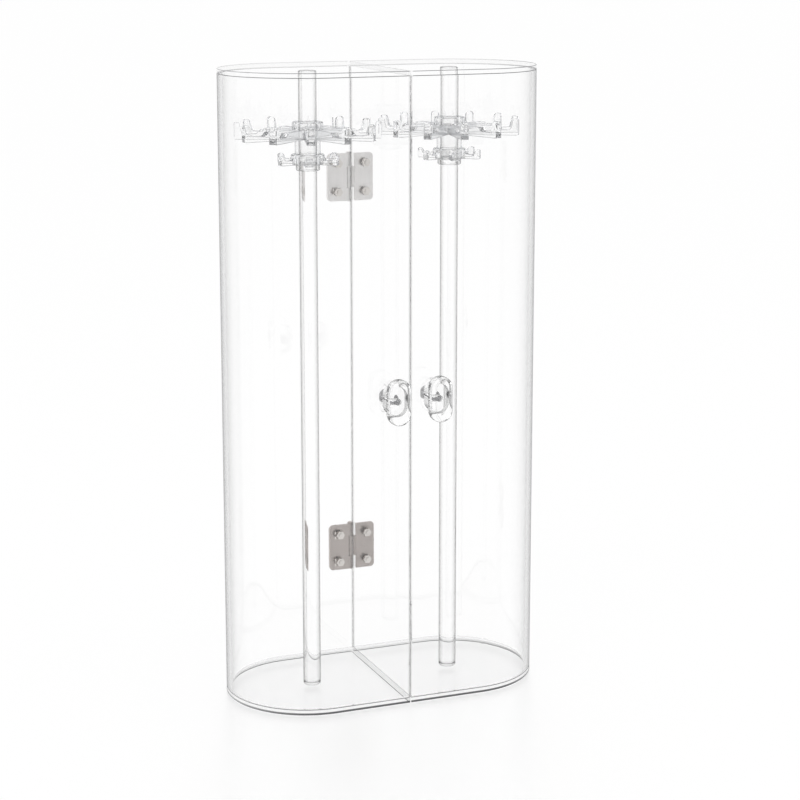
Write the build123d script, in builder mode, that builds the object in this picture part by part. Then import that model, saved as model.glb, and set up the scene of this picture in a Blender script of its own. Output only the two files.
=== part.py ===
"""Clear two-door necklace case with a hook wheel on a post in each shell.

Millimetres. +X runs to the right along the case, +Y to the back, +Z up. The origin is at the middle
of the closed case's footprint, on the surface that it stands on.
"""

import os
from math import atan2, degrees

from build123d import *

# Case, bent from clear sheet
CASE_LENGTH = 165.0
CASE_DEPTH = 85.0
CASE_HEIGHT = 320.0
WALL_THICKNESS = 2.5
BASE_THICKNESS = 3.0
TOP_THICKNESS = 2.5
SEAM_GAP = 0.4
PLATE_EDGE_CHAMFER = 0.3
SEAM_EDGE_ROUND = 0.4

# Posts, seated in shallow pockets of the two plates
POST_DIAMETER = 9.0
POST_FROM_SEAM = 38.0
POST_END_CHAMFER = 0.5
POCKET_DEPTH = 1.2
GLUE_GAP = 0.05

# Stop collars under the hook wheels
COLLAR_DIAMETER = 12.0
COLLAR_HEIGHT = 3.0
COLLAR_EDGE_CHAMFER = 0.5

# Hook wheels
WHEEL_BELOW_TOP = 26.5
WHEEL_HEIGHT = 21.0
WHEEL_BORE_CLEARANCE = 0.1
WHEEL_RUNNING_GAP = 0.15
SLEEVE_WALL = 1.8
BOSS_WALL = 3.2
HUB_EDGE_CHAMFER = 0.5
LEFT_WHEEL_TURN = 13.0
RIGHT_WHEEL_TURN = 19.0

# Upper hook wheel's arms
UPPER_ARM_COUNT = 12
UPPER_ARM_WIDTH = 4.0
UPPER_TIP_CLEARANCE = 1.3
UPPER_TIP_HEIGHT = 8.4
UPPER_TIP_TOP = 2.6
UPPER_TIP_ROOT = 4.0
UPPER_SADDLE_LENGTH = 7.2
UPPER_SADDLE_FLOOR = 2.6
UPPER_SHOULDER_HEIGHT = 4.6

# Lower hook wheel's ring and arms
LOWER_ARM_COUNT = 6
LOWER_RING_WALL = 2.0
LOWER_RING_HEIGHT = 5.0
LOWER_ARM_REACH = 16.5
LOWER_ARM_WIDTH = 4.0
LOWER_TIP_HEIGHT = 4.8
LOWER_TIP_TOP = 1.8
LOWER_TIP_ROOT = 2.8
LOWER_SADDLE_LENGTH = 4.0
LOWER_SADDLE_FLOOR = 2.2
LOWER_SHOULDER_HEIGHT = 3.2

# How far every arm starts inside its hub, and shares of a hook's own sizes that set its rounds
ARM_ROOT_SINK = 0.1
TIP_ROUND_SHARE = 0.4
SADDLE_ROUND_SHARE = 0.24
TIP_CORNER_SHARE = 0.3

# Butt hinges on the back
HINGE_FROM_END = 60.0
HINGE_HEIGHT = 25.0
LEAF_REACH = 12.5
LEAF_THICKNESS = 1.0
LEAF_CORNER_ROUND = 2.0
KNUCKLE_WALL = 0.85
KNUCKLE_STAND_OFF = 0.4
KNUCKLE_GAP = 0.25
MIDDLE_KNUCKLE_LENGTH = 11.0
HINGE_PIN_DIAMETER = 2.0
HINGE_PIN_CLEARANCE = 0.06
HINGE_PIN_HEAD_DIAMETER = 3.0
HINGE_PIN_HEAD_HEIGHT = 0.5

# Screws and nuts of the hinges
LEAF_SCREW_FROM_SEAM = 7.7
LEAF_SCREW_PITCH = 15.0
LEAF_SCREW_DIAMETER = 2.0
LEAF_SCREW_HEAD_DIAMETER = 3.8
LEAF_SCREW_HEAD_HEIGHT = 0.9
LEAF_SCREW_STICK_OUT = 0.6
LEAF_NUT_ACROSS_FLATS = 4.0
LEAF_NUT_HEIGHT = 1.6
LEAF_NUT_SIDES = 6
SCREW_HOLE_CLEARANCE = 0.1
SEAT_GAP = 0.05

# Knobs on the front
KNOB_FROM_SEAM = 11.0
KNOB_NECK_WIDTH = 9.6
KNOB_NECK_HEIGHT = 15.0
KNOB_FOOT_FLARE = 1.2
KNOB_FOOT_HEIGHT = 1.6
KNOB_PROJECTION = 15.0
KNOB_HEAD_WIDTH = 11.6
KNOB_HEAD_HEIGHT = 23.0
KNOB_HEAD_THICKNESS = 7.5
KNOB_HEAD_ROUND = 2.6

# Screws of the knobs
KNOB_SCREW_DIAMETER = 3.0
KNOB_SCREW_BITE = 8.0
KNOB_SCREW_HEAD_DIAMETER = 5.6
KNOB_SCREW_HEAD_HEIGHT = 1.8
KNOB_SCREW_HEAD_CHAMFER = 0.6

# Cross recess of every screw, as shares of the head
RECESS_LENGTH_SHARE = 0.56
RECESS_WIDTH_SHARE = 0.13
RECESS_DEPTH_SHARE = 0.5

# How far a cut runs past the face that it opens
OVERRUN = 1.0

# Places that follow from the sizes above
half_depth = CASE_DEPTH / 2
end_centre = CASE_LENGTH / 2 - half_depth
seam_face = SEAM_GAP / 2
top_underside = CASE_HEIGHT - TOP_THICKNESS
wall_bottom = BASE_THICKNESS + GLUE_GAP
wall_height = top_underside - GLUE_GAP - wall_bottom
post_radius = POST_DIAMETER / 2
bore_radius = post_radius + WHEEL_BORE_CLEARANCE
sleeve_radius = bore_radius + SLEEVE_WALL
boss_radius = bore_radius + BOSS_WALL
wheel_top = CASE_HEIGHT - WHEEL_BELOW_TOP
wheel_bottom = wheel_top - WHEEL_HEIGHT
upper_arm_bottom = wheel_top - UPPER_TIP_HEIGHT
room_to_seam = POST_FROM_SEAM - seam_face
room_to_side = half_depth - WALL_THICKNESS
room_to_end = CASE_LENGTH / 2 - WALL_THICKNESS - POST_FROM_SEAM
upper_arm_reach = min(room_to_seam, room_to_side, room_to_end) - UPPER_TIP_CLEARANCE
lower_ring_bore = sleeve_radius + GLUE_GAP
lower_ring_radius = lower_ring_bore + LOWER_RING_WALL
collar_top = wheel_bottom - WHEEL_RUNNING_GAP
hinge_heights = {"upper": CASE_HEIGHT - HINGE_FROM_END, "lower": HINGE_FROM_END}
pin_radius = HINGE_PIN_DIAMETER / 2
knuckle_bore = pin_radius + HINGE_PIN_CLEARANCE
knuckle_radius = knuckle_bore + KNUCKLE_WALL
hinge_axis_y = half_depth + KNUCKLE_STAND_OFF + knuckle_radius
end_knuckle_length = (HINGE_HEIGHT - MIDDLE_KNUCKLE_LENGTH) / 2 - KNUCKLE_GAP
leaf_screw_radius = LEAF_SCREW_DIAMETER / 2
leaf_screw_head_radius = LEAF_SCREW_HEAD_DIAMETER / 2
leaf_screw_hole = leaf_screw_radius + SCREW_HOLE_CLEARANCE
leaf_screw_head_flare = leaf_screw_head_radius - leaf_screw_radius
leaf_screw_taper = degrees(atan2(leaf_screw_head_flare, LEAF_SCREW_HEAD_HEIGHT))
knob_height = CASE_HEIGHT / 2
knob_foot_taper = degrees(atan2(KNOB_FOOT_FLARE, KNOB_FOOT_HEIGHT))
knob_screw_radius = KNOB_SCREW_DIAMETER / 2
knob_screw_hole = knob_screw_radius + SCREW_HOLE_CLEARANCE

SIDES = {"left": -1, "right": 1}
WHEEL_TURNS = {"left": LEFT_WHEEL_TURN, "right": RIGHT_WHEEL_TURN}

# Drawing planes seen from the front: local x is X, local y is Z, and the normal points forward
front_face = Plane.XZ.offset(half_depth)
front_inner_face = Plane.XZ.offset(half_depth - WALL_THICKNESS)
back_face = Plane.XZ.offset(-half_depth)
knob_seat = front_face.offset(SEAT_GAP)
knob_screw_seat = front_inner_face.offset(-SEAT_GAP)
leaf_seat = back_face.offset(-SEAT_GAP)
leaf_outer_face = leaf_seat.offset(-LEAF_THICKNESS)
nut_seat = Plane.XZ.offset(WALL_THICKNESS - half_depth + SEAT_GAP)


def save(builder, name):
    """Label a finished piece and write its file."""
    builder.part.label = name
    export_step(builder.part, f"parts/{name}.step")


def half_plan(side, level, inset, seam):
    """D of one shell's plan at a level, drawn in by inset, with its straight side at seam."""
    radius = half_depth - inset
    with BuildSketch(Plane.XY.offset(level)) as plan:
        with BuildLine():
            Line((side * seam, -radius), (side * end_centre, -radius))
            ThreePointArc(
                (side * end_centre, -radius),
                (side * (end_centre + radius), 0),
                (side * end_centre, radius),
            )
            Line((side * end_centre, radius), (side * seam, radius))
            Line((side * seam, radius), (side * seam, -radius))
        make_face()
    return plan.sketch


def leaf_screw_places(side):
    """Places of one side's four hinge screws on a plane seen from the front."""
    return [
        (side * LEAF_SCREW_FROM_SEAM, height + step * LEAF_SCREW_PITCH / 2)
        for height in hinge_heights.values()
        for step in (-1, 1)
    ]


def cross_recess(face, places, head_diameter, head_height):
    """Crosses to cut into the screw heads that end at a face, and how deep they go."""
    length = head_diameter * RECESS_LENGTH_SHARE
    width = head_diameter * RECESS_WIDTH_SHARE
    with BuildSketch(face) as recess:
        with Locations(*places):
            Rectangle(length, width)
            Rectangle(width, length)
    return recess.sketch, head_height * RECESS_DEPTH_SHARE


# Walls: sheets bent to a U, drilled for the hinge screws and the knob screw
def make_wall(name, side):
    with BuildPart() as wall:
        extrude(half_plan(side, wall_bottom, 0, seam_face), amount=wall_height)
        extrude(
            half_plan(side, wall_bottom, WALL_THICKNESS, -OVERRUN),
            amount=wall_height,
            mode=Mode.SUBTRACT,
        )
        upright = wall.edges().filter_by(Axis.Z)
        fillet(upright.sort_by(lambda edge: abs(edge.center().X))[:4], SEAM_EDGE_ROUND)
        with BuildSketch(back_face):
            with Locations(*leaf_screw_places(side)):
                Circle(leaf_screw_hole)
        extrude(amount=WALL_THICKNESS, mode=Mode.SUBTRACT)
        with BuildSketch(front_face):
            with Locations((side * KNOB_FROM_SEAM, knob_height)):
                Circle(knob_screw_hole)
        extrude(amount=-WALL_THICKNESS, mode=Mode.SUBTRACT)
    save(wall, f"{name}_wall")


# Plates: the D of the plan, with its edges broken and a pocket for the post
def make_plate(name, side, bottom, thickness, pocket_level):
    with BuildPart() as plate:
        extrude(half_plan(side, bottom, 0, seam_face), amount=thickness)
        rims = plate.faces().filter_by(Axis.Z).edges()
        chamfer(rims, PLATE_EDGE_CHAMFER)
        with BuildSketch(Plane.XY.offset(pocket_level)):
            with Locations((side * POST_FROM_SEAM, 0)):
                Circle(post_radius + GLUE_GAP)
        extrude(amount=POCKET_DEPTH, mode=Mode.SUBTRACT)
    save(plate, name)


def make_plates(name, side):
    make_plate(f"{name}_base_plate", side, 0, BASE_THICKNESS, BASE_THICKNESS - POCKET_DEPTH)
    make_plate(f"{name}_top_plate", side, top_underside, TOP_THICKNESS, top_underside)


# Posts: solid rods from pocket to pocket
def make_post(name, side):
    foot = BASE_THICKNESS - POCKET_DEPTH + GLUE_GAP
    head = top_underside + POCKET_DEPTH - GLUE_GAP
    with BuildPart() as post:
        with BuildSketch(Plane.XY.offset(foot)):
            with Locations((side * POST_FROM_SEAM, 0)):
                Circle(post_radius)
        extrude(amount=head - foot)
        chamfer(post.edges().filter_by(GeomType.CIRCLE), POST_END_CHAMFER)
    save(post, f"{name}_post")


# Stop collars: rings fixed on the posts, just under the hook wheels
def make_stop_collar(name, side):
    with BuildPart() as collar:
        with BuildSketch(Plane.XY.offset(collar_top - COLLAR_HEIGHT)):
            with Locations((side * POST_FROM_SEAM, 0)):
                Circle(COLLAR_DIAMETER / 2)
                Circle(post_radius + GLUE_GAP, mode=Mode.SUBTRACT)
        extrude(amount=COLLAR_HEIGHT)
        outer = collar.edges().filter_by(GeomType.CIRCLE).group_by(SortBy.RADIUS)[-1]
        chamfer(outer, COLLAR_EDGE_CHAMFER)
    save(collar, f"{name}_stop_collar")


def hook_arm(hub_radius, reach, width, tip, saddle, shoulder_height):
    """One arm along +X from just inside a hub, with its underside at level 0.

    tip is (height, length on top, length at the saddle) and saddle is (length, floor height).
    The side, end and plan outlines are each drawn once, and the arm is what they share.
    """
    tip_height, tip_top, tip_root = tip
    saddle_length, saddle_floor = saddle
    root = (hub_radius**2 - (width / 2) ** 2) ** 0.5 - ARM_ROOT_SINK
    tip_inner = reach - tip_root
    saddle_inner = tip_inner - saddle_length
    ramp = shoulder_height - saddle_floor
    tip_round = tip_top * TIP_ROUND_SHARE
    saddle_round = saddle_length * SADDLE_ROUND_SHARE
    end_round = width * TIP_CORNER_SHARE
    ramp_round = ramp * TIP_ROUND_SHARE
    side_outline = [
        (root, 0),
        (reach, 0),
        (reach, tip_height),
        (reach - tip_top, tip_height),
        (tip_inner, saddle_floor),
        (saddle_inner, saddle_floor),
        (saddle_inner - ramp, shoulder_height),
        (root, shoulder_height),
    ]
    side_rounds = [tip_round, tip_round, tip_round, saddle_round, saddle_round, ramp_round]
    with BuildPart() as arm:
        with BuildSketch(Plane.XZ):
            with BuildLine():
                FilletPolyline(*side_outline, radius=side_rounds)
                Line(side_outline[-1], side_outline[0])
            make_face()
        extrude(amount=width / 2, both=True)
        with BuildSketch(Plane.YZ):
            with Locations((0, tip_height - width / 2)):
                Circle(width / 2)
                Rectangle(width, tip_height, align=(Align.CENTER, Align.MAX))
        extrude(amount=reach, mode=Mode.INTERSECT)
        with BuildSketch(Plane.XY):
            with Locations((reach, 0)):
                RectangleRounded(2 * reach, width, end_round, align=(Align.MAX, Align.CENTER))
        extrude(amount=tip_height, mode=Mode.INTERSECT)
    return arm.part


# Upper hook wheels: a sleeve that runs on the post and a boss with a crown of long hooks
def make_upper_hook_wheel(name, side):
    axis = (side * POST_FROM_SEAM, 0)
    arm = hook_arm(
        boss_radius,
        upper_arm_reach,
        UPPER_ARM_WIDTH,
        (UPPER_TIP_HEIGHT, UPPER_TIP_TOP, UPPER_TIP_ROOT),
        (UPPER_SADDLE_LENGTH, UPPER_SADDLE_FLOOR),
        UPPER_SHOULDER_HEIGHT,
    )
    with BuildPart() as wheel:
        with BuildSketch(Plane.XY.offset(wheel_bottom)):
            with Locations(axis):
                Circle(sleeve_radius)
        extrude(amount=WHEEL_HEIGHT)
        with BuildSketch(Plane.XY.offset(upper_arm_bottom)):
            with Locations(axis):
                Circle(boss_radius)
        extrude(amount=UPPER_TIP_HEIGHT)
        crown = wheel.edges().filter_by_position(Axis.Z, wheel_top, wheel_top)
        chamfer(crown, HUB_EDGE_CHAMFER)
        with Locations((*axis, upper_arm_bottom)):
            with PolarLocations(0, UPPER_ARM_COUNT, start_angle=WHEEL_TURNS[name]):
                add(arm)
        with BuildSketch(Plane.XY.offset(wheel_bottom)):
            with Locations(axis):
                Circle(bore_radius)
        extrude(amount=WHEEL_HEIGHT, mode=Mode.SUBTRACT)
    save(wheel, f"{name}_upper_hook_wheel")


# Lower hook wheels: rings with short hooks, fixed round the foot of the sleeve
def make_lower_hook_wheel(name, side):
    axis = (side * POST_FROM_SEAM, 0)
    arm = hook_arm(
        lower_ring_radius,
        LOWER_ARM_REACH,
        LOWER_ARM_WIDTH,
        (LOWER_TIP_HEIGHT, LOWER_TIP_TOP, LOWER_TIP_ROOT),
        (LOWER_SADDLE_LENGTH, LOWER_SADDLE_FLOOR),
        LOWER_SHOULDER_HEIGHT,
    )
    with BuildPart() as wheel:
        with BuildSketch(Plane.XY.offset(wheel_bottom)):
            with Locations(axis):
                Circle(lower_ring_radius)
        extrude(amount=LOWER_RING_HEIGHT)
        top_level = wheel_bottom + LOWER_RING_HEIGHT
        chamfer(wheel.edges().filter_by_position(Axis.Z, top_level, top_level), HUB_EDGE_CHAMFER)
        with Locations((*axis, wheel_bottom)):
            with PolarLocations(0, LOWER_ARM_COUNT, start_angle=WHEEL_TURNS[name]):
                add(arm)
        with BuildSketch(Plane.XY.offset(wheel_bottom)):
            with Locations(axis):
                Circle(lower_ring_bore)
        extrude(amount=LOWER_RING_HEIGHT, mode=Mode.SUBTRACT)
    save(wheel, f"{name}_lower_hook_wheel")


def knob_head(place, head_back):
    """Upright oval head of a knob, rounded all along its rims."""
    with BuildPart() as head:
        with BuildSketch(head_back):
            with Locations(place):
                SlotOverall(KNOB_HEAD_HEIGHT, KNOB_HEAD_WIDTH, rotation=90)
        extrude(amount=KNOB_HEAD_THICKNESS)
        fillet(head.faces().filter_by(Axis.Y).edges(), KNOB_HEAD_ROUND)
    return head.part


# Knobs: an upright oval neck that flares a little at its foot and carries a larger oval head
def make_knob(name, side):
    place = (side * KNOB_FROM_SEAM, knob_height)
    neck_length = KNOB_PROJECTION - KNOB_HEAD_THICKNESS - SEAT_GAP
    head_back = knob_seat.offset(neck_length)
    head = knob_head(place, head_back)
    with BuildPart() as knob:
        with BuildSketch(knob_seat):
            with Locations(place):
                SlotOverall(KNOB_NECK_HEIGHT, KNOB_NECK_WIDTH, rotation=90)
        extrude(amount=neck_length + KNOB_HEAD_THICKNESS / 2)
        with BuildSketch(knob_seat):
            with Locations(place):
                SlotOverall(
                    KNOB_NECK_HEIGHT + 2 * KNOB_FOOT_FLARE,
                    KNOB_NECK_WIDTH + 2 * KNOB_FOOT_FLARE,
                    rotation=90,
                )
        extrude(amount=KNOB_FOOT_HEIGHT, taper=knob_foot_taper)
        add(head)
        with BuildSketch(knob_seat):
            with Locations(place):
                Circle(knob_screw_hole)
        extrude(amount=KNOB_SCREW_BITE, mode=Mode.SUBTRACT)
    save(knob, f"{name}_knob")


# Knob screws: pan heads inside the wall, with shanks through it into the knobs
def make_knob_screw(name, side):
    place = (side * KNOB_FROM_SEAM, knob_height)
    head_face = knob_screw_seat.offset(-KNOB_SCREW_HEAD_HEIGHT)
    recess, recess_depth = cross_recess(
        head_face, [place], KNOB_SCREW_HEAD_DIAMETER, KNOB_SCREW_HEAD_HEIGHT
    )
    with BuildPart() as screw:
        with BuildSketch(head_face):
            with Locations(place):
                Circle(KNOB_SCREW_HEAD_DIAMETER / 2)
        extrude(amount=KNOB_SCREW_HEAD_HEIGHT)
        crown = screw.faces().sort_by(Axis.Y)[-1]
        chamfer(crown.edges(), KNOB_SCREW_HEAD_CHAMFER)
        extrude(recess, amount=recess_depth, mode=Mode.SUBTRACT)
        with BuildSketch(knob_screw_seat):
            with Locations(place):
                Circle(knob_screw_radius)
        extrude(amount=WALL_THICKNESS + KNOB_SCREW_BITE - SCREW_HOLE_CLEARANCE)
    save(screw, f"{name}_knob_screw")


def knuckle_spans(height, middle):
    """Lowest levels and lengths of a leaf's knuckles, middle one or the two at the ends."""
    if middle:
        return [(height - MIDDLE_KNUCKLE_LENGTH / 2, MIDDLE_KNUCKLE_LENGTH)]
    return [
        (height - HINGE_HEIGHT / 2, end_knuckle_length),
        (height + HINGE_HEIGHT / 2 - end_knuckle_length, end_knuckle_length),
    ]


# Hinge leaves: flat plates on the back wall, rolled round the pin at their knuckles
def make_leaf(hinge, name, side):
    height = hinge_heights[hinge]
    inner_edge = knuckle_radius + KNUCKLE_GAP
    roll_back = hinge_axis_y - knuckle_radius
    roll_front = half_depth + SEAT_GAP + LEAF_THICKNESS
    screw_places = [
        (side * LEAF_SCREW_FROM_SEAM, height + step * LEAF_SCREW_PITCH / 2) for step in (-1, 1)
    ]
    with BuildPart() as leaf:
        with BuildSketch(leaf_seat) as plate:
            with Locations((side * (inner_edge + LEAF_REACH) / 2, height)):
                Rectangle(LEAF_REACH - inner_edge, HINGE_HEIGHT)
            outer = plate.vertices().sort_by(lambda corner: abs(corner.X))[2:]
            fillet(outer, LEAF_CORNER_ROUND)
        extrude(amount=-LEAF_THICKNESS)
        for bottom, length in knuckle_spans(height, side == SIDES["right"]):
            with BuildSketch(Plane.XY.offset(bottom)):
                with Locations((0, hinge_axis_y)):
                    Circle(knuckle_radius)
                with Locations((side * inner_edge / 2, (roll_back + roll_front) / 2)):
                    Rectangle(inner_edge, roll_front - roll_back)
                with Locations((0, hinge_axis_y)):
                    Circle(knuckle_bore, mode=Mode.SUBTRACT)
            extrude(amount=length)
        with BuildSketch(leaf_outer_face):
            with Locations(*screw_places):
                Circle(leaf_screw_head_radius + SCREW_HOLE_CLEARANCE)
        extrude(amount=LEAF_SCREW_HEAD_HEIGHT, taper=leaf_screw_taper, mode=Mode.SUBTRACT)
        with BuildSketch(leaf_outer_face):
            with Locations(*screw_places):
                Circle(leaf_screw_hole)
        extrude(amount=LEAF_THICKNESS, mode=Mode.SUBTRACT)
    save(leaf, f"{hinge}_hinge_{name}_leaf")


# Hinge pins: headed at both ends, just outside the end knuckles
def make_hinge_pin(hinge):
    height = hinge_heights[hinge]
    half_length = HINGE_HEIGHT / 2 + HINGE_PIN_CLEARANCE
    with BuildPart() as pin:
        with BuildSketch(Plane.XY.offset(height)):
            with Locations((0, hinge_axis_y)):
                Circle(pin_radius)
        extrude(amount=half_length, both=True)
        for way in (-1, 1):
            with BuildSketch(Plane.XY.offset(height + way * half_length)):
                with Locations((0, hinge_axis_y)):
                    Circle(HINGE_PIN_HEAD_DIAMETER / 2)
            extrude(amount=way * HINGE_PIN_HEAD_HEIGHT)
        ends = pin.faces().filter_by(Axis.Z).sort_by(Axis.Z)
        chamfer(ends[0].edges() + ends[-1].edges(), HINGE_PIN_HEAD_HEIGHT / 2)
    save(pin, f"{hinge}_hinge_pin")


# Hinge screws: flat heads flush with the leaves, shanks through wall and nut
def make_leaf_screws(name, side):
    places = leaf_screw_places(side)
    grip = LEAF_THICKNESS + WALL_THICKNESS + LEAF_NUT_HEIGHT + 2 * SEAT_GAP
    shank = grip + LEAF_SCREW_STICK_OUT
    recess, recess_depth = cross_recess(
        leaf_outer_face, places, LEAF_SCREW_HEAD_DIAMETER, LEAF_SCREW_HEAD_HEIGHT
    )
    with BuildPart() as screws:
        with BuildSketch(leaf_outer_face):
            with Locations(*places):
                Circle(leaf_screw_radius)
        extrude(amount=shank)
        with BuildSketch(leaf_outer_face):
            with Locations(*places):
                Circle(leaf_screw_head_radius)
        extrude(amount=LEAF_SCREW_HEAD_HEIGHT, taper=leaf_screw_taper)
        extrude(recess, amount=recess_depth, mode=Mode.SUBTRACT)
    save(screws, f"{name}_hinge_screws")


# Hinge nuts: hexagons on the inside of the back wall
def make_leaf_nuts(name, side):
    with BuildPart() as nuts:
        with BuildSketch(nut_seat):
            with Locations(*leaf_screw_places(side)):
                RegularPolygon(LEAF_NUT_ACROSS_FLATS / 2, LEAF_NUT_SIDES, major_radius=False)
                Circle(leaf_screw_radius + GLUE_GAP, mode=Mode.SUBTRACT)
        extrude(amount=LEAF_NUT_HEIGHT)
    save(nuts, f"{name}_hinge_nuts")


os.makedirs("parts", exist_ok=True)
for side_name, side_sign in SIDES.items():
    make_wall(side_name, side_sign)
    make_plates(side_name, side_sign)
    make_post(side_name, side_sign)
    make_stop_collar(side_name, side_sign)
    make_upper_hook_wheel(side_name, side_sign)
    make_lower_hook_wheel(side_name, side_sign)
    make_knob(side_name, side_sign)
    make_knob_screw(side_name, side_sign)
    make_leaf_screws(side_name, side_sign)
    make_leaf_nuts(side_name, side_sign)
    for hinge_name in hinge_heights:
        make_leaf(hinge_name, side_name, side_sign)
for hinge_name in hinge_heights:
    make_hinge_pin(hinge_name)
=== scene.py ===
"""Clear two-door necklace case on a white studio floor."""

import math

import bpy
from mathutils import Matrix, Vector


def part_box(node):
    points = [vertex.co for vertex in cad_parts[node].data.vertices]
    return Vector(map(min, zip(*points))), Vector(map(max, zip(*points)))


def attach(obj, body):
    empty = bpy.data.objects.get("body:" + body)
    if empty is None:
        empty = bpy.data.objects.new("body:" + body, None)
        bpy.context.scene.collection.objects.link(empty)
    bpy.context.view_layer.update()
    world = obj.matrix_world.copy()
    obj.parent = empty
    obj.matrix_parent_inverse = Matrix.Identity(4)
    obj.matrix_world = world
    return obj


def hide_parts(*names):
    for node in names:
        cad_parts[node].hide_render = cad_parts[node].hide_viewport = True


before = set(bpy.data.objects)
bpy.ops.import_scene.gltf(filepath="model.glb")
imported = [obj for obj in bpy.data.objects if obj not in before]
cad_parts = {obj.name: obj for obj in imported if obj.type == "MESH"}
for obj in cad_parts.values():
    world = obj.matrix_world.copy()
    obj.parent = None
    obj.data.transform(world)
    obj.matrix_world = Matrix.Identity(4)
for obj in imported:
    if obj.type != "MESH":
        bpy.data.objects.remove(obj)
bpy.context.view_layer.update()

bl_info = {
    "name": "Clear necklace case",
    "version": (1, 0, 0),
    "blender": (4, 5, 0),
    "location": "3D View > Sidebar > Case",
    "description": "Finishes the clear acrylic of a two-door necklace case and sets its studio",
    "category": "Object",
}

SIDES = ("left", "right")
NEAR = 1e-6  # metres, for picking vertices by place
WHITE = (1.0, 1.0, 1.0)

# Gain, start and power of edge_on, for each clear finish: the SHADE rows set painted shade, the RIM
# rows painted dark rim lines, where the acrylic is seen edge-on
WALL_SHADE = (1.0, 0.0, 5.0)
WALL_RIM = (1.25, 0.2, 4.0)
ROD_SHADE = (1.6, 0.25, 1.0)
ROD_RIM = (1.0, 0.0, 8.0)
MOULDING_SHADE = (1.3, 0.15, 1.2)
MOULDING_RIM = (1.25, 0.42, 2.0)
KNOB_SHADE = (2.0, 1.0, 1.2)
KNOB_RIM = (2.2, 1.15, 1.1)
PLATE_SHEEN = (0.22, 0.0, 2.0)

# Scale and detail of the grain, and its stretch where it is drawn out
SAW_MARKS = (700.0, 3.0, (1.0, 1.0, 0.1))
ACRYLIC_CLOUD = (60.0, 4.0)
BRUSH_LINES = (900.0, 3.0)
STEEL_CLOUD = (90.0, 2.0)
ALONG_HINGE = (1.0, 1.0, 0.05)
EVEN = (1.0, 1.0, 1.0)

# Clear acrylic
ACRYLIC_IOR = 1.49
ACRYLIC_RIPPLE = (0.02, 0.0005)  # strength and height in metres of the bump
SHEET_HAZE = 0.02  # most roughness that the cloud gives
MOULDING_HAZE = 0.04
KNOB_HAZE = 0.03
PLATE_HAZE = 0.05
MOULDING_TRACE = 0.02
FROST_DARKEST = 0.85  # share of the frost's colour in the saw marks
FROST_ROUGHNESS = (0.3, 0.2)  # least, and how much the marks add
CLEAR_BOUNCES = 32  # light crosses many clear faces

# Edges of the plates
CHAMFER_LEAN = 0.707  # upright share of the normal on a 45 degree edge
CHAMFER_FALLOFF = 6.0
BASE_ARRIS = (0.45, 1.0)  # shares of the frost along the seam and at the back
TOP_ARRIS = (0.2, 0.3)
UPRIGHT_GAIN = 3.0
PLATE_DARKEST = 0.97  # share of the plate's colour in its cloud
PLATE_VEIL = 0.03
RIM_VEIL = 0.12
# Painted contact shadow: a dark band along the lower edge of the base plates, darker at the front
# than at the back
CONTACT_SHADOW_HEIGHT = 0.0014  # metres above the table
CONTACT_SHADOW_STEEPNESS = 2500.0
CONTACT_SHADOW_STRENGTH = 0.95
CONTACT_SHADOW_AT_BACK = 0.2  # share of the painted shadow's darkness at the hinges
BACK_FADE = 0.085  # metres from front to back

# Sawn ends and bends of the walls
SEAM_FACE = 0.00025  # metres from the seam to just past the sawn faces
SEAM_FACE_STEEPNESS = 20000.0
SEAM_REACH = 0.0008  # metres from the seam
SEAM_STEEPNESS = 6000.0
SEAM_FROST = 0.12
SEAM_LOSS = 0.55
WALL_MIDDLE = 0.00125  # metres, half of the sheet's thickness
BEND_STEEPNESS = 2000.0
INSIDE_SHARE = 0.25  # share of the wall's painted edge-on shade on its inside

# Steel
STEEL_TONES = (0.8, 1.15)  # shares of the colour in the darkest and brightest lines
STEEL_ROUGHNESS = (0.28, 0.16)  # least, and how much the lines add
STEEL_RIPPLE = (0.12, 0.0002)  # strength and height in metres of the bump

# Faces of the knob screws
SHANK_SIDES = 24
HEAD_SIDES = 40
HEAD_SEGMENTS = 4
THREAD_CORNERS = 3
THREAD_STEPS = 20
SMOOTH_ANGLE = math.radians(35.0)

# Studio
FLOOR_SIDES = 96
FLOOR_RADIUS = 14.0  # metres
FLOOR_ROUGHNESS = 0.3
FLOOR_IOR = 1.45
SENSOR_WIDTH = 36.0  # millimetres
LAMP_AIM = (0.0, 0.0, 0.16)
KEY_PLACE, KEY_SIZE = (-0.9, -0.9, 1.5), 1.2
FILL_PLACE, FILL_SIZE = (1.2, -0.6, 1.0), 1.0


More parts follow.
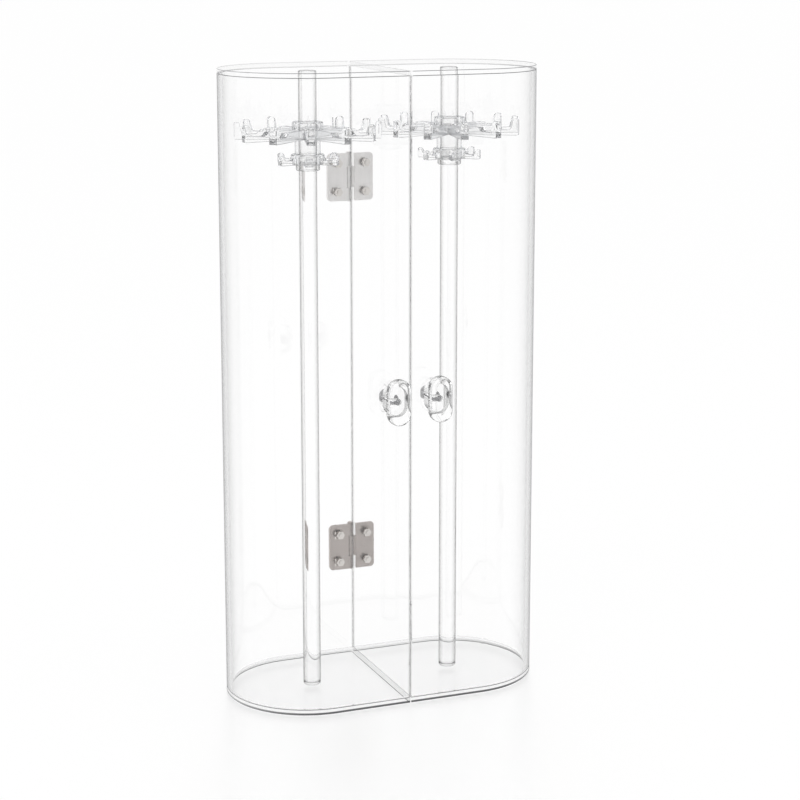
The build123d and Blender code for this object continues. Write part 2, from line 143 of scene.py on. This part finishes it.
class Socket:
    """A shader socket that takes part in sums and makes the nodes that it needs."""

    def __init__(self, tree, socket=None):
        self.tree, self.socket = tree, socket

    def make(self, kind, settings=None, inputs=None, output=0):
        """Add a node, apply its settings, then fill or link its inputs."""
        made = self.tree.nodes.new(kind)
        for name, value in (settings or {}).items():
            setattr(made, name, value)
        for name, value in (inputs or {}).items():
            if isinstance(value, Socket):
                self.tree.links.new(value.socket, made.inputs[name])
            else:
                made.inputs[name].default_value = value
        return Socket(self.tree, made.outputs[output]) if made.outputs else made

    def maths(self, operation, *values, clamp=False):
        """Add a Math node."""
        return self.make(
            "ShaderNodeMath", {"operation": operation, "use_clamp": clamp}, dict(enumerate(values))
        )

    def __add__(self, other):
        return self.maths("ADD", self, other)

    __radd__ = __add__

    def __sub__(self, other):
        return self.maths("SUBTRACT", self, other)

    def __rsub__(self, other):
        return self.maths("SUBTRACT", other, self)

    def __mul__(self, other):
        return self.maths("MULTIPLY", self, other)

    __rmul__ = __mul__

    def __pow__(self, other):
        return self.maths("POWER", self, other)

    def __abs__(self):
        return self.maths("ABSOLUTE", self)

    def clamped(self):
        """This value, held between 0 and 1."""
        return self.maths("ADD", self, 0.0, clamp=True)

    def tint(self, low, high):
        """Colour that goes from low to high as this value goes from 0 to 1."""
        ends = [c if isinstance(c, Socket) else (*c, 1.0) for c in (low, high)]
        return self.make(
            "ShaderNodeMix", {"data_type": "RGBA"}, {"Factor": self, 6: ends[0], 7: ends[1]}, 2
        )


def new_material(name):
    """An empty node material and the start of its sums."""
    material = bpy.data.materials.new(name)
    material.use_nodes = True
    material.node_tree.nodes.clear()
    return material, Socket(material.node_tree)


def along(start, axis, kind="Object"):
    """One part of the piece's own coordinates, or of its normal."""
    place = start.make("ShaderNodeTexCoord", output=kind)
    return start.make("ShaderNodeSeparateXYZ", None, {"Vector": place}, axis)


def grain(start, scale, detail, stretch=EVEN):
    """Noise on the piece's own coordinates, drawn out along an axis."""
    place = start.make("ShaderNodeTexCoord", output="Object")
    turned = start.make("ShaderNodeMapping", None, {"Vector": place, "Scale": stretch})
    return start.make(
        "ShaderNodeTexNoise", None, {"Vector": turned, "Scale": scale, "Detail": detail}
    )


def ripple(start, height, strength, distance):
    """Normal of a surface that rises and falls a little with height."""
    return start.make(
        "ShaderNodeBump", None, {"Height": height, "Strength": strength, "Distance": distance}
    )


def edge_on(start, gain, begin, power):
    """0 on a surface seen square, up to 1 where it is seen edge-on."""
    facing = start.make("ShaderNodeLayerWeight", None, {"Blend": 0.5}, "Facing")
    return (facing * gain - begin).clamped() ** power


def frosted_skin(start, colour, dark=None, depth=None):
    """Frosted acrylic with fine saw marks, which goes to dark where depth is 1; that dark is painted
    shadow.
    """
    marks = grain(start, *SAW_MARKS)
    least, added = FROST_ROUGHNESS
    skin = marks.tint([c * FROST_DARKEST for c in colour], colour)
    if depth:
        skin = depth.tint(skin, dark)
    return start.make(
        "ShaderNodeBsdfPrincipled",
        None,
        {"Base Color": skin, "Roughness": least + marks * added, "IOR": ACRYLIC_IOR},
    )


def finished(material, start, share, under, over):
    """End a material with a mix of two shaders."""
    mixed = start.make("ShaderNodeMixShader", None, {0: share, 1: under, 2: over})
    start.make("ShaderNodeOutputMaterial", None, {"Surface": mixed})
    return material


def clear_acrylic(name, shade, shade_edge, frost, rim_edge, trace=0.0, mask=None, haze=SHEET_HAZE):
    """Clear acrylic that bends light, and where it is seen edge-on goes to painted shade and to
    painted dark rim lines in the frost colour.

    shade_edge and rim_edge are for edge_on, and trace is frost all over. mask gives more frost, the
    share of light that goes straight through, and the share of the painted edge-on shade and rim
    lines that stays.
    """
    material, start = new_material(name)
    cloud = grain(start, *ACRYLIC_CLOUD)
    # Painted shade in the tint and painted dark rim lines in the frost, both where the surface is
    # seen edge-on; trace is frost all over
    depth = edge_on(start, *shade_edge)
    skin = edge_on(start, *rim_edge) + trace
    solid = 1.0
    if mask:
        extra, lost, share = mask(start)
        depth = depth * share
        skin = (skin * share + extra).clamped()
        solid = 1.0 - lost
    glass = start.make(
        "ShaderNodeBsdfPrincipled",
        None,
        {
            "Base Color": depth.tint(WHITE, shade),
            "Roughness": cloud * haze,
            "IOR": ACRYLIC_IOR,
            "Transmission Weight": 1.0,
            "Alpha": solid,
            "Normal": ripple(start, cloud, *ACRYLIC_RIPPLE),
        },
    )
    return finished(material, start, skin, glass, frosted_skin(start, frost))


def thin_acrylic(name, pale, frost, dark, at_seam, at_back):
    """Clear flat plate: a pale veil seen edge-on, which is painted sheen, frost on its broken edges
    and a painted contact shadow along its lower edge.

    at_seam and at_back are the shares of the frost along the seam and at the back, and dark is the
    colour of the painted contact shadow.
    """
    material, start = new_material(name)
    up = abs(along(start, "Z", "Normal"))
    away = ((abs(along(start, "X")) - SEAM_REACH) * SEAM_STEEPNESS).clamped()
    arris = (1.0 - abs(up - CHAMFER_LEAN) * CHAMFER_FALLOFF).clamped()
    front = (0.5 - along(start, "Y") * (1.0 / BACK_FADE)).clamped()
    arris = arris * (at_seam + away * (1.0 - at_seam)) * (at_back + front * (1.0 - at_back))
    upright = ((1.0 - up) * UPRIGHT_GAIN).clamped()
    rim = ((abs(along(start, "X")) - SEAM_FACE) * SEAM_FACE_STEEPNESS).clamped()
    # Painted contact shadow: dark on the lowest band of the upright rim, away from the seam, fading
    # towards the back
    painted_contact_shadow = ((CONTACT_SHADOW_HEIGHT - along(start, "Z")) * CONTACT_SHADOW_STEEPNESS).clamped() * upright * rim
    painted_contact_shadow = painted_contact_shadow * (CONTACT_SHADOW_AT_BACK + front * (1.0 - CONTACT_SHADOW_AT_BACK))
    cloud = grain(start, *ACRYLIC_CLOUD)
    # Painted sheen: the pale veil thickens where the plate is seen edge-on and on its upright rim;
    # PLATE_VEIL is an even haze
    veil = edge_on(start, *PLATE_SHEEN) + upright * RIM_VEIL + PLATE_VEIL
    sheet = start.make(
        "ShaderNodeBsdfPrincipled",
        None,
        {
            "Base Color": cloud.tint([c * PLATE_DARKEST for c in pale], pale),
            "Roughness": cloud * PLATE_HAZE,
            "IOR": ACRYLIC_IOR,
            "Alpha": veil.clamped(),
        },
    )
    skin = frosted_skin(start, frost, dark, painted_contact_shadow.clamped())
    return finished(material, start, (arris + painted_contact_shadow * CONTACT_SHADOW_STRENGTH).clamped(), sheet, skin)


def wall_mask(start):
    """Frost on a wall's sawn ends, which let some light straight through, and less painted edge shade
    inside.
    """
    low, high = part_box("left_wall")
    bend_radius = high[1] - WALL_MIDDLE
    bend_centre = -low[0] - high[1]
    near = ((SEAM_REACH - abs(along(start, "X"))) * SEAM_STEEPNESS).clamped()
    across = (abs(along(start, "X")) - bend_centre).clamped()
    radius = (across ** 2.0 + abs(along(start, "Y")) ** 2.0) ** 0.5
    outside = ((radius - bend_radius) * BEND_STEEPNESS).clamped()
    return near * SEAM_FROST, near * SEAM_LOSS, INSIDE_SHARE + outside * (1.0 - INSIDE_SHARE)


def satin_steel(name, colour, brush):
    """Brushed steel with fine lines and a soft change of tone."""
    material, start = new_material(name)
    lines = grain(start, *BRUSH_LINES, brush)
    cloud = grain(start, *STEEL_CLOUD)
    dark, bright = ([min(1.0, c * tone) for c in colour] for tone in STEEL_TONES)
    least, added = STEEL_ROUGHNESS
    shader = start.make(
        "ShaderNodeBsdfPrincipled",
        None,
        {
            "Base Color": (lines * 0.5 + cloud * 0.5).tint(dark, bright),
            "Roughness": least + lines * added,
            "Metallic": 1.0,
            "Normal": ripple(start, lines, *STEEL_RIPPLE),
        },
    )
    start.make("ShaderNodeOutputMaterial", None, {"Surface": shader})
    return material


def finish_nodes(material, owners, parts):
    """Give a finish to the CAD nodes named by each owner and part."""
    for owner in owners:
        for part in parts:
            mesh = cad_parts[f"{owner}_{part}"].data
            mesh.materials.clear()
            mesh.materials.append(material)


def seen_rays(start):
    """1 for rays that show a surface to the camera, straight or by way of glass or gloss."""
    kinds = ("Is Camera Ray", "Is Glossy Ray", "Is Transmission Ray")
    straight, gloss, glass = (start.make("ShaderNodeLightPath", output=kind) for kind in kinds)
    return (straight + gloss + glass).clamped()


def only(piece):
    """Select one object alone and make it active."""
    bpy.ops.object.select_all(action="DESELECT")
    piece.select_set(True)
    bpy.context.view_layer.objects.active = piece


def settle(piece):
    """Put an object's place, turn and scale into its mesh."""
    only(piece)
    bpy.ops.object.transform_apply(location=True, rotation=True, scale=True)
    return piece


def apply_step(piece, kind, **settings):
    """Add a modifier, set it and apply it."""
    only(piece)
    bpy.ops.object.modifier_add(type=kind)
    step = piece.modifiers[-1]
    for name, value in settings.items():
        setattr(step, name, value)
    bpy.ops.object.modifier_apply(modifier=step.name)


def combine(piece, tool, operation):
    """Join a solid to a piece, or cut it away, and remove the solid."""
    apply_step(piece, "BOOLEAN", operation=operation, solver="EXACT", object=tool)
    only(tool)
    bpy.ops.object.delete()


def turned_rod(radius, begin, end, sides):
    """A rod along Y, from begin to end."""
    bpy.ops.object.select_all(action="DESELECT")
    bpy.ops.mesh.primitive_cylinder_add(
        vertices=sides,
        radius=radius,
        depth=abs(end - begin),
        location=(0.0, (begin + end) / 2, 0.0),
        rotation=(math.pi / 2, 0.0, 0.0),
    )
    return settle(bpy.context.object)


def round_end(piece, at, width, segments):
    """Bevel the rim of a rod's end."""
    only(piece)
    bpy.ops.object.mode_set(mode="EDIT")
    bpy.ops.mesh.select_mode(type="EDGE")
    bpy.ops.mesh.select_all(action="DESELECT")
    bpy.ops.object.mode_set(mode="OBJECT")
    points = piece.data.vertices
    for edge in piece.data.edges:
        edge.select = all(abs(points[i].co.y - at) < NEAR for i in edge.vertices)
    bpy.ops.object.mode_set(mode="EDIT")
    bpy.ops.mesh.bevel(offset=width, segments=segments)
    bpy.ops.object.mode_set(mode="OBJECT")


class CaseScrew(bpy.types.PropertyGroup):
    """Sizes of the knob screws that the CAD leaves plain."""

    thread_radius: bpy.props.FloatProperty(
        name="Radius", description="Radius of the thread's crest", subtype="DISTANCE",
        default=0.0015,
    )
    thread_pitch: bpy.props.FloatProperty(
        name="Pitch", description="Length of one turn of the thread", subtype="DISTANCE",
        default=0.001,
    )
    thread_depth: bpy.props.FloatProperty(
        name="Depth", description="Height of the thread's ridge", subtype="DISTANCE",
        default=0.00036,
    )
    thread_turns: bpy.props.IntProperty(
        name="Turns", description="Turns of thread on the shank", min=1, default=8,
    )
    head_height: bpy.props.FloatProperty(
        name="Head height", description="Height of the pan head", subtype="DISTANCE",
        default=0.0018,
    )
    head_round: bpy.props.FloatProperty(
        name="Head round", description="Round of the pan head's rim", subtype="DISTANCE",
        default=0.0009,
    )
    recess_length: bpy.props.FloatProperty(
        name="Recess length", description="Length of each arm pair of the cross", subtype="DISTANCE",
        default=0.0032,
    )
    recess_width: bpy.props.FloatProperty(
        name="Recess width", description="Width of the cross's arms", subtype="DISTANCE",
        default=0.0007,
    )
    recess_depth: bpy.props.FloatProperty(
        name="Recess depth", description="Depth of the cross in the head", subtype="DISTANCE",
        default=0.0009,
    )
    colour: bpy.props.FloatVectorProperty(
        name="Colour", description="Dark zinc of the knob screws", subtype="COLOR",
        default=(0.3, 0.3, 0.31),
    )


class CaseFinish(bpy.types.PropertyGroup):
    """Colours of the finishes."""

    # Painted shade where clear acrylic is seen edge-on
    painted_edge_shade: bpy.props.FloatVectorProperty(
        name="Depth", description="Clear acrylic seen through its length", subtype="COLOR",
        default=(0.0, 0.0, 0.0),
    )
    # Frost on sawn edges, and also the colour of the painted dark rim lines on walls and posts
    sawn_edge_and_painted_rim: bpy.props.FloatVectorProperty(
        name="Sawn edge", description="Frost on sawn and broken edges", subtype="COLOR",
        default=(0.22, 0.22, 0.23),
    )
    # Colour of the plates' veil, which is mostly painted sheen and partly an even haze
    plate: bpy.props.FloatVectorProperty(
        name="Plate", description="Veil on the top and base plates", subtype="COLOR",
        default=(0.94, 0.94, 0.945),
    )
    # Colour of the painted contact shadow along the lower edge of the base plates
    painted_contact_shadow: bpy.props.FloatVectorProperty(
        name="Foot", description="Lower edge of the base plates", subtype="COLOR",
        default=(0.05, 0.05, 0.055),
    )
    # Painted shade where the hook wheels are seen edge-on
    moulding_shade: bpy.props.FloatVectorProperty(
        name="Moulding depth", description="Hook wheels seen through their length", subtype="COLOR",
        default=(0.86, 0.875, 0.9),
    )
    # Frost all over the hook wheels, and also the colour of their painted dark outline
    moulding_frost_and_painted_outline: bpy.props.FloatVectorProperty(
        name="Moulding frost", description="Outline of the hook wheels", subtype="COLOR",
        default=(0.28, 0.29, 0.32),
    )
    # Painted dark rim where the clear knobs are seen edge-on
    knob_painted_rim: bpy.props.FloatVectorProperty(
        name="Knob rim", description="Dark rim of the clear knobs", subtype="COLOR",
        default=(0.03, 0.03, 0.03),
    )
    # The two hinges are one steel: the upper one is lighter, a painted reflection of the bright floor
    # far in front, and the lower one darker, a painted reflection of the shaded floor by the case
    upper_hinge: bpy.props.FloatVectorProperty(
        name="Upper hinge", description="Bright steel of the upper hinge", subtype="COLOR",
        default=(0.82, 0.805, 0.795),
    )
    lower_hinge: bpy.props.FloatVectorProperty(
        name="Lower hinge", description="Taupe steel of the lower hinge", subtype="COLOR",
        default=(0.44, 0.39, 0.365),
    )
    screw_steel: bpy.props.FloatVectorProperty(
        name="Screw steel", description="Screws and nuts of the hinges", subtype="COLOR",
        default=(0.72, 0.69, 0.66),
    )


class CaseStudio(bpy.types.PropertyGroup):
    """Camera, floor and light."""

    camera_place: bpy.props.FloatVectorProperty(
        name="Camera", description="Where the camera stands", subtype="TRANSLATION",
        default=(-0.3877, -0.9844, 0.3872),
    )
    camera_yaw: bpy.props.FloatProperty(
        name="Yaw", description="Turn of the camera to the right", subtype="ANGLE",
        default=math.radians(22.066),
    )
    camera_pitch: bpy.props.FloatProperty(
        name="Pitch", description="Tilt of the camera", subtype="ANGLE",
        default=math.radians(-11.157),
    )
    camera_lens: bpy.props.FloatProperty(
        name="Lens", description="Focal length in millimetres", default=94.86,
    )
    camera_rise: bpy.props.FloatProperty(
        name="Rise", description="Shift of the picture as a share of its width", default=-0.07,
    )
    floor_colour: bpy.props.FloatVectorProperty(
        name="Floor", description="Colour of the floor", subtype="COLOR", default=(0.97, 0.97, 0.97),
    )
    floor_white: bpy.props.FloatProperty(
        name="Floor white", description="Share of the floor that shows as plain white",
        subtype="FACTOR", min=0.0, max=1.0, default=0.94,
    )
    floor_gloss: bpy.props.FloatProperty(
        name="Floor gloss", description="Share of the floor that shows a soft reflection",
        subtype="FACTOR", min=0.0, max=1.0, default=0.2,
    )
    floor_gap: bpy.props.FloatProperty(
        name="Floor gap", description="Air under the base plates", subtype="DISTANCE", default=0.0003,
    )
    room_light: bpy.props.FloatProperty(
        name="Room light", description="Light from all round", subtype="FACTOR", default=0.85,
    )
    key_power: bpy.props.FloatProperty(
        name="Key", description="Light of the softbox at the left", subtype="POWER", default=8.0,
    )
    fill_power: bpy.props.FloatProperty(
        name="Fill", description="Light of the softbox at the right", subtype="POWER", default=3.0,
    )


class CASE_OT_sheets(bpy.types.Operator):
    """Finish the clear walls and plates"""

    bl_idname = "case.sheets"
    bl_label = "Walls and plates"

    def execute(self, context):
        look = context.scene.case_finish
        wall = clear_acrylic(
            "clear_wall", look.painted_edge_shade, WALL_SHADE, look.sawn_edge_and_painted_rim, WALL_RIM, mask=wall_mask
        )
        finish_nodes(wall, SIDES, ["wall"])
        for part, arris in (("top_plate", TOP_ARRIS), ("base_plate", BASE_ARRIS)):
            plate = thin_acrylic(f"clear_{part}", look.plate, look.sawn_edge_and_painted_rim, look.painted_contact_shadow, *arris)
            finish_nodes(plate, SIDES, [part])
        return {"FINISHED"}


class CASE_OT_posts(bpy.types.Operator):
    """Finish the posts and their stop collars"""

    bl_idname = "case.posts"
    bl_label = "Posts"

    def execute(self, context):
        look = context.scene.case_finish
        rod = clear_acrylic("clear_rod", look.painted_edge_shade, ROD_SHADE, look.sawn_edge_and_painted_rim, ROD_RIM)
        finish_nodes(rod, SIDES, ["post", "stop_collar"])
        return {"FINISHED"}


class CASE_OT_wheels(bpy.types.Operator):
    """Finish the hook wheels"""

    bl_idname = "case.wheels"
    bl_label = "Hook wheels"

    def execute(self, context):
        look = context.scene.case_finish
        moulding = clear_acrylic(
            "clear_moulding",
            look.moulding_shade,
            MOULDING_SHADE,
            look.moulding_frost_and_painted_outline,
            MOULDING_RIM,
            trace=MOULDING_TRACE,
            haze=MOULDING_HAZE,
        )
        finish_nodes(moulding, SIDES, ["upper_hook_wheel", "lower_hook_wheel"])
        return {"FINISHED"}


class CASE_OT_knobs(bpy.types.Operator):
    """Finish the knobs"""

    bl_idname = "case.knobs"
    bl_label = "Knobs"

    def execute(self, context):
        look = context.scene.case_finish
        knob = clear_acrylic(
            "clear_knob", look.painted_edge_shade, KNOB_SHADE, look.knob_painted_rim, KNOB_RIM, haze=KNOB_HAZE
        )
        finish_nodes(knob, SIDES, ["knob"])
        return {"FINISHED"}


class CASE_OT_knob_screws(bpy.types.Operator):
    """Model the threaded knob screws with their cross recesses"""

    bl_idname = "case.knob_screws"
    bl_label = "Knob screws"

    def execute(self, context):
        sizes = context.scene.case_screw
        low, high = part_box("left_knob_screw")
        head_radius = (high[2] - low[2]) / 2
        tip, crown = low[1], high[1]
        seat = crown - sizes.head_height
        core_radius = sizes.thread_radius - sizes.thread_depth

        screw = turned_rod(core_radius, seat + sizes.thread_depth, tip, SHANK_SIDES)
        round_end(screw, tip, sizes.thread_depth, 1)
        head = turned_rod(head_radius, crown, seat, HEAD_SIDES)
        round_end(head, crown, sizes.head_round, HEAD_SEGMENTS)
        for turn in (0.0, math.pi / 2):
            bpy.ops.object.select_all(action="DESELECT")
            bpy.ops.mesh.primitive_cube_add(
                size=1.0, location=(0.0, crown, 0.0), rotation=(0.0, turn, 0.0)
            )
            arm = context.object
            arm.scale = (sizes.recess_length, 2 * sizes.recess_depth, sizes.recess_width)
            combine(head, settle(arm), "DIFFERENCE")
        combine(screw, head, "UNION")

        bpy.ops.object.select_all(action="DESELECT")
        bpy.ops.mesh.primitive_circle_add(
            vertices=THREAD_CORNERS,
            radius=sizes.thread_depth,
            location=(core_radius, tip + sizes.thread_pitch, 0.0),
            rotation=(0.0, 0.0, -math.pi / 2),
        )
        thread = settle(context.object)
        apply_step(
            thread,
            "SCREW",
            axis="Y",
            angle=2 * math.pi,
            screw_offset=sizes.thread_pitch,
            iterations=sizes.thread_turns,
            steps=THREAD_STEPS,
            render_steps=THREAD_STEPS,
        )
        bpy.ops.object.mode_set(mode="EDIT")
        bpy.ops.mesh.select_all(action="SELECT")
        bpy.ops.mesh.fill_holes(sides=THREAD_CORNERS)
        bpy.ops.mesh.normals_make_consistent(inside=False)
        bpy.ops.object.mode_set(mode="OBJECT")
        combine(screw, thread, "UNION")
        only(screw)
        bpy.ops.object.shade_smooth_by_angle(angle=SMOOTH_ANGLE)
        screw.data.materials.clear()
        screw.data.materials.append(satin_steel("knob_screw_steel", sizes.colour, EVEN))

        only(screw)
        bpy.ops.object.duplicate(linked=False)
        for side, piece in zip(SIDES, (screw, context.object)):
            low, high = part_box(f"{side}_knob_screw")
            piece.name = f"{side}_threaded_screw"
            piece.location = ((low[0] + high[0]) / 2, 0.0, (low[2] + high[2]) / 2)
            settle(piece)
            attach(piece, f"{side}_shell")
            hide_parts(f"{side}_knob_screw")
        return {"FINISHED"}


class CASE_OT_hinges(bpy.types.Operator):
    """Finish the hinges with their screws and nuts"""

    bl_idname = "case.hinges"
    bl_label = "Hinges"

    def execute(self, context):
        look = context.scene.case_finish
        # The lighter upper and darker lower hinge colours are painted reflections
        for hinge in ("upper_hinge", "lower_hinge"):
            steel = satin_steel(f"{hinge}_steel", getattr(look, hinge), ALONG_HINGE)
            finish_nodes(steel, [hinge], ["left_leaf", "right_leaf", "pin"])
        screw = satin_steel("screw_steel", look.screw_steel, EVEN)
        finish_nodes(screw, SIDES, ["knob_screw", "hinge_screws", "hinge_nuts"])
        return {"FINISHED"}


class CASE_OT_stage(bpy.types.Operator):
    """Set the floor, the white surroundings, the lamps and the camera"""

    bl_idname = "case.stage"
    bl_label = "Studio"

    def execute(self, context):
        scene = context.scene
        look = scene.case_studio
        white = (*WHITE, 1.0)
        scene.view_settings.view_transform = "Standard"
        scene.cycles.max_bounces = CLEAR_BOUNCES
        scene.cycles.transmission_bounces = CLEAR_BOUNCES
        scene.cycles.glossy_bounces = CLEAR_BOUNCES
        scene.cycles.transparent_max_bounces = CLEAR_BOUNCES
        world = bpy.data.worlds.new("white_surroundings")
        scene.world = world
        world.use_nodes = True
        world.node_tree.nodes.clear()
        start = Socket(world.node_tree)
        level = look.room_light + seen_rays(start) * (1.0 - look.room_light)
        back = start.make("ShaderNodeBackground", None, {"Color": white, "Strength": level})
        start.make("ShaderNodeOutputWorld", None, {"Surface": back})

        bpy.ops.object.select_all(action="DESELECT")
        bpy.ops.mesh.primitive_circle_add(
            vertices=FLOOR_SIDES,
            radius=FLOOR_RADIUS,
            fill_type="NGON",
            location=(0.0, 0.0, -look.floor_gap),
        )
        floor = context.object
        floor.name = "studio_floor"
        material, start = new_material("studio_floor")
        matt = start.make(
            "ShaderNodeBsdfPrincipled",
            None,
            {
                "Base Color": (*look.floor_colour, 1.0),
                "Roughness": FLOOR_ROUGHNESS,
                "IOR": FLOOR_IOR,
            },
        )
        lit = start.make("ShaderNodeEmission", None, {"Color": white, "Strength": 1.0})
        pale = start.make(
            "ShaderNodeMixShader", None, {0: seen_rays(start) * look.floor_white, 1: matt, 2: lit}
        )
        gloss = start.make(
            "ShaderNodeBsdfGlossy", None, {"Color": white, "Roughness": FLOOR_ROUGHNESS}
        )
        floor.data.materials.append(finished(material, start, look.floor_gloss, pale, gloss))

        for name, place, size, power in (
            ("key_softbox", KEY_PLACE, KEY_SIZE, look.key_power),
            ("fill_softbox", FILL_PLACE, FILL_SIZE, look.fill_power),
        ):
            lamp_data = bpy.data.lights.new(name, "AREA")
            lamp_data.shape = "SQUARE"
            lamp_data.size = size
            lamp_data.energy = power
            lamp = bpy.data.objects.new(name, lamp_data)
            scene.collection.objects.link(lamp)
            lamp.location = place
            aim = Vector(LAMP_AIM) - lamp.location
            lamp.rotation_euler = aim.to_track_quat("-Z", "Y").to_euler()

        camera_data = bpy.data.cameras.new("photo_camera")
        camera = bpy.data.objects.new("photo_camera", camera_data)
        scene.collection.objects.link(camera)
        camera.location = look.camera_place
        camera.rotation_euler = (math.pi / 2 + look.camera_pitch, 0.0, -look.camera_yaw)
        camera_data.lens = look.camera_lens
        camera_data.sensor_width = SENSOR_WIDTH
        camera_data.shift_y = look.camera_rise
        scene.camera = camera
        return {"FINISHED"}


class CASE_PT_panel(bpy.types.Panel):
    """Lists the steps that finish the case and what they use"""

    bl_idname = "CASE_PT_panel"
    bl_label = "Necklace case"
    bl_space_type = "VIEW_3D"
    bl_region_type = "UI"
    bl_category = "Case"

    def draw(self, context):
        for step in STEPS:
            self.layout.operator(step.bl_idname)
        for name in GROUPS:
            group = getattr(context.scene, name)
            for field in group.__annotations__:
                self.layout.prop(group, field)


STEPS = (
    CASE_OT_sheets,
    CASE_OT_posts,
    CASE_OT_wheels,
    CASE_OT_knobs,
    CASE_OT_hinges,
    CASE_OT_knob_screws,
    CASE_OT_stage,
)
GROUPS = {"case_finish": CaseFinish, "case_screw": CaseScrew, "case_studio": CaseStudio}
CLASSES = (*GROUPS.values(), *STEPS, CASE_PT_panel)


def register():
    """Register the classes and hang the groups on the scene."""
    for cls in CLASSES:
        bpy.utils.register_class(cls)
    for name, group in GROUPS.items():
        setattr(bpy.types.Scene, name, bpy.props.PointerProperty(type=group))


def unregister():
    """Undo register."""
    for name in GROUPS:
        delattr(bpy.types.Scene, name)
    for cls in reversed(CLASSES):
        bpy.utils.unregister_class(cls)


def main():
    """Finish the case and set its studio."""
    register()
    bpy.ops.case.sheets()
    bpy.ops.case.posts()
    bpy.ops.case.wheels()
    bpy.ops.case.knobs()
    bpy.ops.case.hinges()
    bpy.ops.case.knob_screws()
    bpy.ops.case.stage()


if __name__ == "__main__":
    main()
